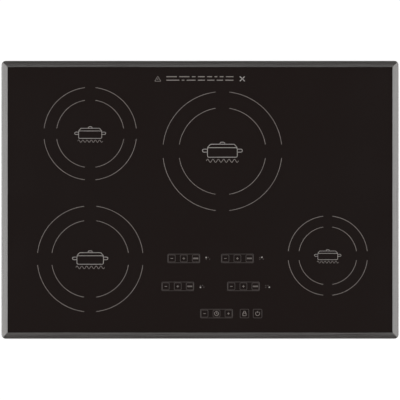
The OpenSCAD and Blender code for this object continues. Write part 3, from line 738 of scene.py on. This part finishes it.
def minus(c):
    signs.stroke(c, [(-2.3, 0), (2.3, 0)])


def plus(c):
    minus(c)
    signs.stroke(c, [(0, -2.3), (0, 2.3)])


def boost(c):
    for y in (-0.75, 0.75):
        signs.stroke(c, [(-4.9, y), (4.9, y)])


def clock(c):
    signs.arc(c, 3.9)
    signs.stroke(c, [(0, 2.4), (0, 0), (1.8, -1.0)])


def padlock(c):
    signs.box((c[0], c[1] - 1.6 * MM), 6.4, 5.0)
    for x in (-2.1, 2.1):
        signs.stroke(c, [(x, 0.9), (x, 2.6)])
    signs.arc((c[0], c[1] + 2.6 * MM), 2.1, 0, 180)


def power(c):
    signs.arc(c, 3.9, 125, 415)
    signs.stroke(c, [(0, 1.2), (0, 5.0)])


for group in groups:
    if len(group) == 3:
        frames.box(group[1], *GROUP_FRAME)
        timer = group[1].y < groups[-1][0].y + MM
        for c, sign in zip(group, (minus, clock, plus) if timer else (minus, plus, boost)):
            frames.box(c, *KEY_FRAME)
            sign(c)
for group, sign in zip((g for g in groups if len(g) == 1), (padlock, power)):
    frames.box(group[0], *LONE_FRAME)
    sign(group[0])
frames.print("print_key_frames", FRAME_LINE, FRAME_CORNER, ink_dim)
signs.print("print_key_signs", SIGN_LINE, SIGN_CORNER, ink_line)

# %% [markdown]
# ### Zone icons
# Beside each row of keys, four dots stand for the four zones, and the row's own zone is the bright one.
# The dots are discs that Geometry Nodes put on points.

# %% Zone icons
tree, given = new_tree("ink_dots", {"Radius": 1.0 * MM})
disc = step(tree, "MeshCylinder", {"Vertices": 20, "Radius": given["Radius"], "Depth": INK_T})
dot_tree = end_on_points(tree, given, disc)

ICON_AT = dict(zip(ZONES, ((46.2, 0.3), (46.1, 0.3), (46.7, 0.0), (46.2, 0.0))))
DOTS = dict(zip(ZONES, ((-3.2, 1.4), (0.8, 1.8), (-3.2, -1.9), (3.4, -1.6))))
DOT_BRIGHT, DOT_FAINT = 1.45 * MM, 0.9 * MM
bright, faint = [], []
for zone, group in zip(ZONES, (g for g in groups if len(g) == 3)):
    x, y = ICON_AT[zone]
    for other, (dx, dy) in DOTS.items():
        spot = (group[1].x + (x + dx) * MM, group[1].y + (y + dy) * MM, glass_z + INK_T / 2)
        (bright if other == zone else faint).append(spot)
print_marks("print_zone_dots_bright", dot_tree, {"Radius": DOT_BRIGHT, "Finish": ink_bright}, bright)
print_marks("print_zone_dots_faint", dot_tree, {"Radius": DOT_FAINT, "Finish": ink_dim}, faint)

# %% [markdown]
# ### Row at the back
# Such panels carry a care notice at the back. Here it is two rows of plain bars with the rhythm of
# words, between a triangle and a cross, so it has the look of a notice and no lettering.

# %% Notice row
NOTICE_Y = 232.3 * MM
triangle, cross, words = Drawing(), Drawing(), Drawing()
SIGN_X = 81 * MM
triangle.stroke((-SIGN_X, NOTICE_Y), [(-5.6, -5.0), (5.6, -5.0), (0, 4.8)], True)
triangle.stroke((-SIGN_X, NOTICE_Y), [(0, 1.4), (0, -2.6)])
triangle.print("print_notice_triangle", 0.7, 0.4, ink_line)
for side in (-1, 1):
    cross.stroke((SIGN_X, NOTICE_Y), [(-4.7 * side, -4.8), (4.7 * side, 4.2)])
cross.print("print_notice_cross", 2.0, 0.0, ink_bright)
BAR_ROWS = ((3.8, (20.0, 19.4, 7.0, 12.6, 9.6, 5.2, 7.0, 14.4)),
            (-2.9, (25.0, 5.0, 17.0, 13.6, 13.6, 12.0, 15.6)))
ROW_LENGTH, ROW_START = 128.6, -64.6
for y, lengths in BAR_ROWS:
    x, space = ROW_START, (ROW_LENGTH - sum(lengths)) / (len(lengths) - 1)
    for length in lengths:
        words.stroke((0, NOTICE_Y + y * MM), [(x, 0), (x + length, 0)])
        x += length + space
words.print("print_notice_bars", 1.75, 0.0, ink_line)

# %% [markdown]
# ## Softened edges
# No folded, cast or moulded edge is quite sharp, and the thin highlight along it makes a thing look
# real. A CAD node's own mesh stays untouched, so a copy is merged, its flat faces are joined, its sharp
# edges are bevelled, and the copy stands for the node. Weighted normals keep the large faces flat in
# the light, so that only the narrow edges look round.


# %% Bevelled copies of CAD nodes
FLAT, SHARP, CREASE = math.radians(0.5), math.radians(40), math.radians(38)


def soft_object(name, work, finishes):
    """Turns a bmesh into an object that is smooth but for its creases."""
    mesh = bpy.data.meshes.new(name)
    work.to_mesh(mesh)
    work.free()
    mesh.shade_smooth()
    mesh.set_sharp_from_angle(angle=CREASE)
    for finish in finishes:
        mesh.materials.append(finish)
    return new_object(name, mesh)


def soften(node, radius, wanted=None, change=None):
    """A copy of a CAD node, or of the solids that are wanted, with rounded edges, in its place."""
    work = merged_copy(node)
    if change:
        change(work)
    for group in islands(work) if wanted else []:
        if not wanted(*box_of(group)):
            bmesh.ops.delete(work, geom=group, context="VERTS")
    bmesh.ops.dissolve_limit(work, angle_limit=FLAT, verts=work.verts, edges=work.edges)
    sharp = [e for e in work.edges if len(e.link_faces) == 2 and e.calc_face_angle() > SHARP]
    bmesh.ops.bevel(work, geom=sharp, offset=radius, segments=2, profile=0.5, affect="EDGES",
                    clamp_overlap=True)
    bmesh.ops.triangulate(work, faces=[f for f in work.faces if len(f.verts) > 4])
    piece = soft_object(node + "_soft", work, [finish_of(node)])
    piece.modifiers.new("even_shading", "WEIGHTED_NORMAL").keep_sharp = True
    return place(plain_mesh(piece), frame["nodes"][node]["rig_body"], SLOT_OF[node], node)


EDGE = {  # millimetres. A star stands for left and right.
    "bezel_front": 0.25, "bezel_rear": 0.25, "bezel_*": 0.25, "front_wall": 0.3, "rear_wall": 0.3,
    "*_wall": 0.3, "bottom_pan": 0.25, "clamp_brackets": 0.4, "clamp_cap_*": 0.5, "rubber_feet": 0.6,
    "case_screws": 0.2, "conduit_bushing": 0.5, "terminal_block": 0.4, "earth_stud": 0.2,
    "fan_motors": 0.5, "film_capacitors_*": 0.8, "fan_housing_*": 0.4, "power_transistors_*": 0.3,
    "heatsink_*": 0.3, "ferrites_*": 0.5, "coil_sensors_*": 0.8, "touch_holder": 0.4,
    "coil_tray_*": 0.25, "worktop_gasket": 0.3,
}
for name, radius in EDGE.items():
    for node in [name.replace("*", side) for side in SIDES] if "*" in name else [name]:
        soften(node, radius * MM)

# %% [markdown]
# ## Coils
# Each coil is one length of litz, a rope of fine enamelled strands, wound as a flat spiral. A spiral
# curve is swept with a star-shaped section, and the section is tilted steadily along the length, which
# gives the rope its twist.

# %% Litz coils
LITZ_R = 1.5 * MM
LITZ_PITCH = 3.15 * MM
TWIST_LENGTH = 22 * MM
COIL_EYE = 0.27
GROOVE = 0.84
tree, given = new_tree("litz_coil", {"Inner": 0.02, "Outer": 0.1, "Turns": 20.0, "Wire": LITZ_R})
spiral = step(tree, "CurveSpiral", {
    "Resolution": 72, "Rotations": given["Turns"], "Height": 0.0, "Start Radius": given["Inner"],
    "End Radius": given["Outer"]})
along = add(tree, "GeometryNodeSplineParameter").outputs["Length"]
twist = times(tree, along, 2 * math.pi / TWIST_LENGTH)
twisted = step(tree, "SetCurveTilt", {"Curve": spiral, "Tilt": twist})
groove = times(tree, given["Wire"], GROOVE)
strands = step(tree, "CurveStar", {"Points": 6, "Inner Radius": groove, "Outer Radius": given["Wire"]})
litz_tree = end_on_points(tree, given, swept(tree, twisted, strands))

for zone in ZONES:
    node = "coil_winding_" + zone
    low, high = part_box(node)
    inner = COIL_EYE * zones[zone][1] + LITZ_R
    outer = (high.x - low.x) / 2 - LITZ_R
    values = {"Inner": inner, "Outer": outer, "Turns": float(round((outer - inner) / LITZ_PITCH)),
              "Finish": SLOT_FINISH["copper_litz"]}
    piece = grow("litz_coil_" + zone, litz_tree, values, [(*middle((low, high)).xy, low.z + LITZ_R)])
    piece.data.shade_smooth()
    place(piece, frame["nodes"][node]["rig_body"], "copper_litz", node)

# %% [markdown]
# ## Springs
# The trays' springs and the keys' contact springs are wound wire: a spiral of constant radius that also
# climbs.

# %% Springs
tree, given = new_tree("wound_spring", {
    "Radius": 4 * MM, "Height": 12 * MM, "Turns": 6.0, "Wire": 0.5 * MM, "Sides": 8})
helix = step(tree, "CurveSpiral", {
    "Resolution": 20, "Rotations": given["Turns"], "Height": given["Height"],
    "Start Radius": given["Radius"], "End Radius": given["Radius"]})
wire = step(tree, "CurvePrimitiveCircle", {"Resolution": given["Sides"], "Radius": given["Wire"]})
spring_tree = end_on_points(tree, given, swept(tree, helix, wire))


def wind(name, node, turns, wire):
    """Wound springs in place of the plain tubes of a node."""
    boxes = solids(node)
    low, high = boxes[0]
    values = {"Radius": (high.x - low.x) / 2 - wire, "Height": high.z - low.z - 2 * wire, "Turns": turns,
              "Wire": wire, "Finish": SLOT_FINISH["spring_steel"]}
    piece = grow(name, spring_tree, values, [(*middle(b).xy, b[0].z + wire) for b in boxes])
    piece.data.shade_smooth()
    return place(piece, "burner_box", "spring_steel", node)


wind("key_contact_springs", "touch_springs", turns=4.0, wire=0.3 * MM)
for side in SIDES:
    springs = wind(f"wound_springs_{side}", f"tray_springs_{side}", turns=6.0, wire=0.55 * MM)
    low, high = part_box(f"tray_springs_{side}")
    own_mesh(springs)

# %% [markdown]
# ## Threads of the clamp screws
# A thread is a ridge that climbs round a rod, so it is a spring whose turns are half sunk into the rod.
# The spring tree makes it too, with four sides to the wire instead of eight, which gives a sharp crest.
# The plain shank is made thinner first, so that the crest is where the shank's surface was.

# %% Threads
THREAD_PITCH = 1.25 * MM
RIDGE = 0.5 * MM
SUNK = 0.8 * RIDGE
PLAIN_END = 1.5 * RIDGE
FINE = 0.01 * MM


def thread_screw(side):
    """A copy of a clamp screw with a thread on its shank."""
    node, body = f"clamp_screw_{side}", f"clamp_{side}"
    axis, top = middle(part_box(f"clamp_cap_{side}")).xy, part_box(node)[1].z
    shank = {}

    def thin(work):
        crest = max((v.co.xy - axis).length for v in work.verts if v.co.z > top - FINE)
        ends = [v for v in work.verts if alike((v.co.xy - axis).length, crest, FINE)]
        shank.update(crest=crest, foot=min(v.co.z for v in ends))
        for v in ends:
            v.co.xy = axis + (v.co.xy - axis) * (1 - SUNK / crest)

    soften(node, 0.3 * MM, change=thin)
    height = top - shank["foot"] - 2 * PLAIN_END
    values = {"Radius": shank["crest"] - RIDGE, "Height": height, "Turns": height / THREAD_PITCH,
              "Wire": RIDGE, "Sides": 4, "Finish": SLOT_FINISH["zinc_screws"]}
    ridge = grow(f"clamp_thread_{side}", spring_tree, values, [(*axis, shank["foot"] + PLAIN_END)])
    place(ridge, body, "zinc_screws", node)


for side in SIDES:
    thread_screw(side)

# %% [markdown]
# ## Chokes
# A choke is a ring of pressed iron powder or ferrite with thick wire wound round its section. The wire
# follows a rule: it goes round the section many times while it goes round the ring once. So a formula
# moves each point of a straight line there, and the line is then given its thickness. The core is a
# circle swept with a flattened section that just fits inside the winding.

# %% Ring core tree
RING_SIZES = {"Mean radius": 12 * MM, "Half depth": 4 * MM, "Half width": 7 * MM}
UPRIGHT = (math.pi / 2, 0, 0)
tree, given = new_tree("choke_core", RING_SIZES)
line = step(tree, "CurvePrimitiveCircle", {"Resolution": 48, "Radius": given["Mean radius"]})
line = step(tree, "SetCurveNormal", {0: line}, mode="Z_UP")
section = step(tree, "CurvePrimitiveCircle", {"Resolution": 20, "Radius": 1.0})
stretch = vector(tree, given["Half depth"], given["Half width"], 1.0)
section = step(tree, "Transform", {"Geometry": section, "Scale": stretch})
core = swept(tree, line, section, False)
core_tree = end_on_points(tree, given, core, UPRIGHT)

# %% Ring winding tree
POINTS_PER_TURN = 14.0
tree, given = new_tree("choke_winding", {
    **RING_SIZES, "Turns": 24, "Share of ring": 0.85, "Wire": 0.7 * MM})
points = times(tree, given["Turns"], POINTS_PER_TURN)
line = step(tree, "ResampleCurve", {"Curve": step(tree, "CurvePrimitiveLine", {}), "Count": points})
along = add(tree, "GeometryNodeSplineParameter").outputs["Factor"]
round_ring = times(tree, along, times(tree, given["Share of ring"], 2 * math.pi))
round_core = times(tree, along, times(tree, given["Turns"], 2 * math.pi))
sines = [math_node(tree, "SINE", angle) for angle in (round_ring, round_core)]
cosines = [math_node(tree, "COSINE", angle) for angle in (round_ring, round_core)]
reach = math_node(tree, "MULTIPLY_ADD", cosines[1], given["Half depth"], given["Mean radius"])
moved = vector(tree, times(tree, reach, cosines[0]), times(tree, reach, sines[0]),
               times(tree, given["Half width"], sines[1]))
line = step(tree, "SetPosition", {"Geometry": line, "Position": moved})
wire = step(tree, "CurvePrimitiveCircle", {"Resolution": 8, "Radius": given["Wire"]})
wound = swept(tree, line, wire)
turn_tree = end_on_points(tree, given, wound, UPRIGHT)

# %% Chokes in place of the plain rings
HOLE_SHARE, WOUND_SHARE = 0.47, 0.85
WIRE_R = 0.7 * MM
WIRE_STEP = 2.25 * WIRE_R
core_paint = moulded("choke_core_paint", srgb(58, 84, 66), 0.45)


def is_ring(low, high):
    """True for an upright ring: as high as it is wide, and thinner than that."""
    size = high - low
    return alike(size.x, size.z) and size.y < 0.6 * size.x


for node in ("chokes_left", "chokes_right", "filter_components"):
    for number, (low, high) in enumerate(box for box in solids(node) if is_ring(*box)):
        outer = (high.x - low.x) / 2
        depth = outer * (1 - HOLE_SHARE) / 2 - WIRE_R
        width = (high.y - low.y) / 2 - WIRE_R
        mean = outer - depth - WIRE_R
        turns = int(WOUND_SHARE * 2 * math.pi * (mean - depth) / WIRE_STEP)
        spot, finish = [middle((low, high))], SLOT_FINISH["choke_winding"]
        values = {"Mean radius": mean, "Half depth": depth - WIRE_R, "Half width": width - WIRE_R}
        core = grow(f"core_{node}_{number}", core_tree, {**values, "Finish": core_paint}, spot)
        values = {"Mean radius": mean, "Half depth": depth, "Half width": width, "Turns": turns,
                  "Share of ring": WOUND_SHARE, "Wire": WIRE_R, "Finish": finish}
        wound = grow(f"winding_{node}_{number}", turn_tree, values, spot)
        for piece in (core, wound):
            piece.data.shade_smooth()
            place(piece, "burner_box", SLOT_OF[node], node)
        print(node, number, "turns:", turns)
soften("filter_components", 0.6 * MM, wanted=lambda low, high: not is_ring(low, high))

# %% [markdown]
# ## Turned shapes
# Smoothing capacitors are cans of aluminium in a plastic sleeve, with a groove near the foot where the
# can is crimped. They are shapes of revolution, so a half section is drawn and turned about Z.


# %% Capacitor cans and transformers
def turned(name, section, spots, finishes, split):
    """Shapes of revolution on some spots. Section points are (radius, height), from the foot up."""
    work, steps = bmesh.new(), 40
    angles = [2 * math.pi * k / steps for k in range(steps)]
    for spot in spots:
        rings = []
        for r, z in section:
            around = angles if r else [0]
            rings.append([work.verts.new((spot.x + r * math.cos(a), spot.y + r * math.sin(a), spot.z + z))
                          for a in around])
        for level, (low_ring, high_ring) in enumerate(zip(rings, rings[1:])):
            for k in range(steps):
                corners = [low_ring[k % len(low_ring)], low_ring[(k + 1) % len(low_ring)],
                           high_ring[(k + 1) % len(high_ring)], high_ring[k % len(high_ring)]]
                work.faces.new(list(dict.fromkeys(corners))).material_index = int(level >= split)
    bmesh.ops.recalc_face_normals(work, faces=work.faces)
    return soft_object(name, work, finishes)


SLEEVE = moulded("capacitor_sleeve", srgb(38, 52, 92), 0.32)


def is_can(low, high):
    size = high - low
    return alike(size.x, size.y)


for node in ("chokes_left", "chokes_right"):
    boxes = solids(node)
    cans = [box for box in boxes if is_can(*box)]
    r, h = (cans[0][1].x - cans[0][0].x) / 2, cans[0][1].z - cans[0][0].z
    section = [(0, 0), (r - MM, 0), (r - 0.4 * MM, 0.5 * MM), (r, 1.2 * MM), (r, 2.6 * MM),
               (r - 0.9 * MM, 3.2 * MM), (r - 0.9 * MM, 3.7 * MM), (r, 4.4 * MM), (r, h - 1.1 * MM),
               (r - 0.3 * MM, h - 0.3 * MM), (r - MM, h), (r - 1.9 * MM, h), (r - 2.2 * MM, h - 0.5 * MM),
               (0, h - 0.5 * MM)]
    feet = [Vector((*middle(box).xy, box[0].z)) for box in cans]
    piece = turned("cans_" + node, section, feet, (SLEEVE, SLOT_FINISH["aluminium_plain"]), 11)
    place(piece, "burner_box", SLOT_OF[node], node)
    low, high = [box for box in boxes if not is_can(*box) and not is_ring(*box)][0]
    core = soften(node, 0.5 * MM, wanted=lambda lo, hi: not is_can(lo, hi) and not is_ring(lo, hi))
    core.data.materials[0] = SLOT_FINISH["ferrite"]
    print(node, "cans:", len(cans), "transformer, mm:", [round(v / MM) for v in high - low])

# %% [markdown]
# ## Screws on the boards and in the terminal block
# Each screw head is a short cylinder with a slot sawn across it, which a Boolean node cuts. Real screws
# stop at any angle, so every one is turned by a random amount from a fixed seed.

# %% Slotted screws
tree, given = new_tree("slotted_screw", {
    "Radius": 2.8 * MM, "Height": 2.0 * MM, "Slot": 0.8 * MM, "Seed": 1})


def lifted(tree, shape, height, share):
    """Moves a shape up by a share of its height."""
    move = vector(tree, 0.0, 0.0, times(tree, height, share))
    return step(tree, "Transform", {"Geometry": shape, "Translation": move})


head = step(tree, "MeshCylinder", {"Vertices": 24, "Radius": given["Radius"], "Depth": given["Height"]})
size = vector(tree, times(tree, given["Radius"], 3.0), given["Slot"], given["Height"])
cutter = lifted(tree, step(tree, "MeshCube", {"Size": size}), given["Height"], 0.55)
sawn = step(tree, "MeshBoolean", {0: head, 1: cutter}, operation="DIFFERENCE")
sawn = lifted(tree, sawn, given["Height"], 0.5)
chance = add(tree, "FunctionNodeRandomValue", {"data_type": "FLOAT"},
             {3: 3.14, "Seed": given["Seed"]}).outputs[1]
turn = vector(tree, 0.0, 0.0, chance)
screw_tree = end_on_points(tree, given, sawn, turn)

POLES, WELL_DEPTH = 5, 8 * MM
under, top = (corner.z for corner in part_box("filter_board"))
post_tops = [(*middle(box).xy, top) for box in solids("support_posts") if alike(box[1].z, under)]
low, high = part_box("terminal_block")
pole = (high.x - low.x) / POLES
wells = [(low.x + (i + 0.5) * pole, (low.y + high.y) / 2, high.z - WELL_DEPTH) for i in range(POLES)]
for name, spots, radius, slot in (("board_screws", post_tops, 2.8 * MM, "zinc_screws"),
                                  ("terminal_screws", wells, 3.1 * MM, "earth_brass")):
    values = {"Radius": radius, "Seed": 3, "Finish": SLOT_FINISH[slot]}
    place(grow(name, screw_tree, values, spots), "burner_box", slot)
print("board screws:", len(post_tops), "terminal screws:", len(wells))

# %% [markdown]
# ## Small parts on the boards
# Between the large components a board carries many small ones: resistors with a metal cap at each end,
# and chips with rows of legs. One tree scatters them. Points are spread at random but never closer than
# a set distance, and each gets a grid of little boxes: one box is a body, two are end caps, and two rows
# are legs. The same seed puts bodies, caps and legs on the same places.

# %% The scatter tree
tree, given = new_tree("board_parts", {
    "Spacing": 6 * MM, "Seed": 1, "Columns": 1, "Column step": 0.0, "Rows": 1, "Row step": 0.0,
    "Length": 2 * MM, "Width": MM, "Height": 0.7 * MM})
spread = step(tree, "DistributePointsOnFaces", {
    "Mesh": given["Geometry"], "Distance Min": given["Spacing"], "Density Max": 60000.0,
    "Seed": given["Seed"]}, distribute_method="POISSON")


def centred_line(tree, count, pitch, axis):
    """Points in a row along an axis, centred on the origin."""
    back = times(tree, math_node(tree, "SUBTRACT", count, 1.0), times(tree, pitch, -0.5))
    first, between = [add(tree, "ShaderNodeCombineXYZ", None, {axis: value}).outputs[0]
                      for value in (back, pitch)]
    return step(tree, "MeshLine", {"Count": count, "Start Location": first, "Offset": between})


size = vector(tree, given["Length"], given["Width"], given["Height"])
block = lifted(tree, step(tree, "MeshCube", {"Size": size}), given["Height"], 0.5)
rows = centred_line(tree, given["Rows"], given["Row step"], 1)
columns = centred_line(tree, given["Columns"], given["Column step"], 0)
grid = on_points(tree, columns, on_points(tree, rows, block))
quarter = add(tree, "FunctionNodeRandomValue", {"data_type": "INT"},
              {4: 0, 5: 1, "Seed": given["Seed"]}).outputs[2]
spin = vector(tree, 0.0, 0.0, times(tree, quarter, math.pi / 2))
scatter_tree = end_tree(tree, given, on_points(tree, spread, grid, spin))

# %% Scatter on the free parts of each board
FREE_ON_INVERTER = (
    (6, 4, 62, 22), (142, 6, 182, 44), (142, 206, 182, 274), (6, 186, 64, 222), (8, 256, 60, 276))
FREE_ON_FILTER = ((6, 6, 20, 30), (64, 6, 138, 16), (66, 58, 110, 68))
FREE_ON_TOUCH = ((6, 40, 120, 50), (6, 94, 90, 102), (120, 78, 226, 86), (6, 16, 70, 34))


def free_faces(node, areas, mirrored):
    """Rectangles on top of a board, given in millimetres from its left front corner."""
    low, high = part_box(node)
    points, faces = [], []
    for x0, y0, x1, y1 in areas:
        if mirrored:
            width = (high.x - low.x) / MM
            x0, x1 = width - x1, width - x0
        first = len(points)
        corners = (x0, y0), (x1, y0), (x1, y1), (x0, y1)
        points += [(low.x + x * MM, low.y + y * MM, high.z) for x, y in corners]
        faces.append(range(first, first + 4))
    return points, faces


SLOTS = ("transistor_epoxy", "zinc_screws")
COUNTS, SIZES = ("Columns", "Rows"), ("Column step", "Row step", "Length", "Width", "Height")
KINDS = (  # name, spacing and seed, then the body's and the metal's counts and sizes in millimetres
    ("resistors", 5.5, 11, ((1, 1), (0, 0, 2.0, 1.3, 0.7)), ((2, 1), (2.0, 0, 0.5, 1.35, 0.75))),
    ("chips", 16.0, 5, ((1, 1), (0, 0, 5.0, 6.4, 1.6)), ((2, 4), (6.0, 1.27, 1.2, 0.45, 0.5))),
)
for node, areas, mirrored in (
        ("inverter_board_left", FREE_ON_INVERTER, False), ("inverter_board_right", FREE_ON_INVERTER, True),
        ("filter_board", FREE_ON_FILTER, False), ("touch_board", FREE_ON_TOUCH, False)):
    points, faces = free_faces(node, areas, mirrored)
    for kind, spacing, seed, *layers in KINDS:
        for layer, slot, (counts, lengths) in zip(("body", "metal"), SLOTS, layers):
            values = {"Spacing": spacing * MM, "Seed": seed, "Finish": SLOT_FINISH[slot],
                      **dict(zip(COUNTS, counts)), **{k: v * MM for k, v in zip(SIZES, lengths)}}
            piece = grow(f"{kind}_{layer}_{node}", scatter_tree, values, points, (), faces)
            place(piece, "burner_box", slot)

# %% The size of the visual model
low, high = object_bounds()
print("visual box, mm:", [round(v / MM, 1) for v in (*low, *high)])
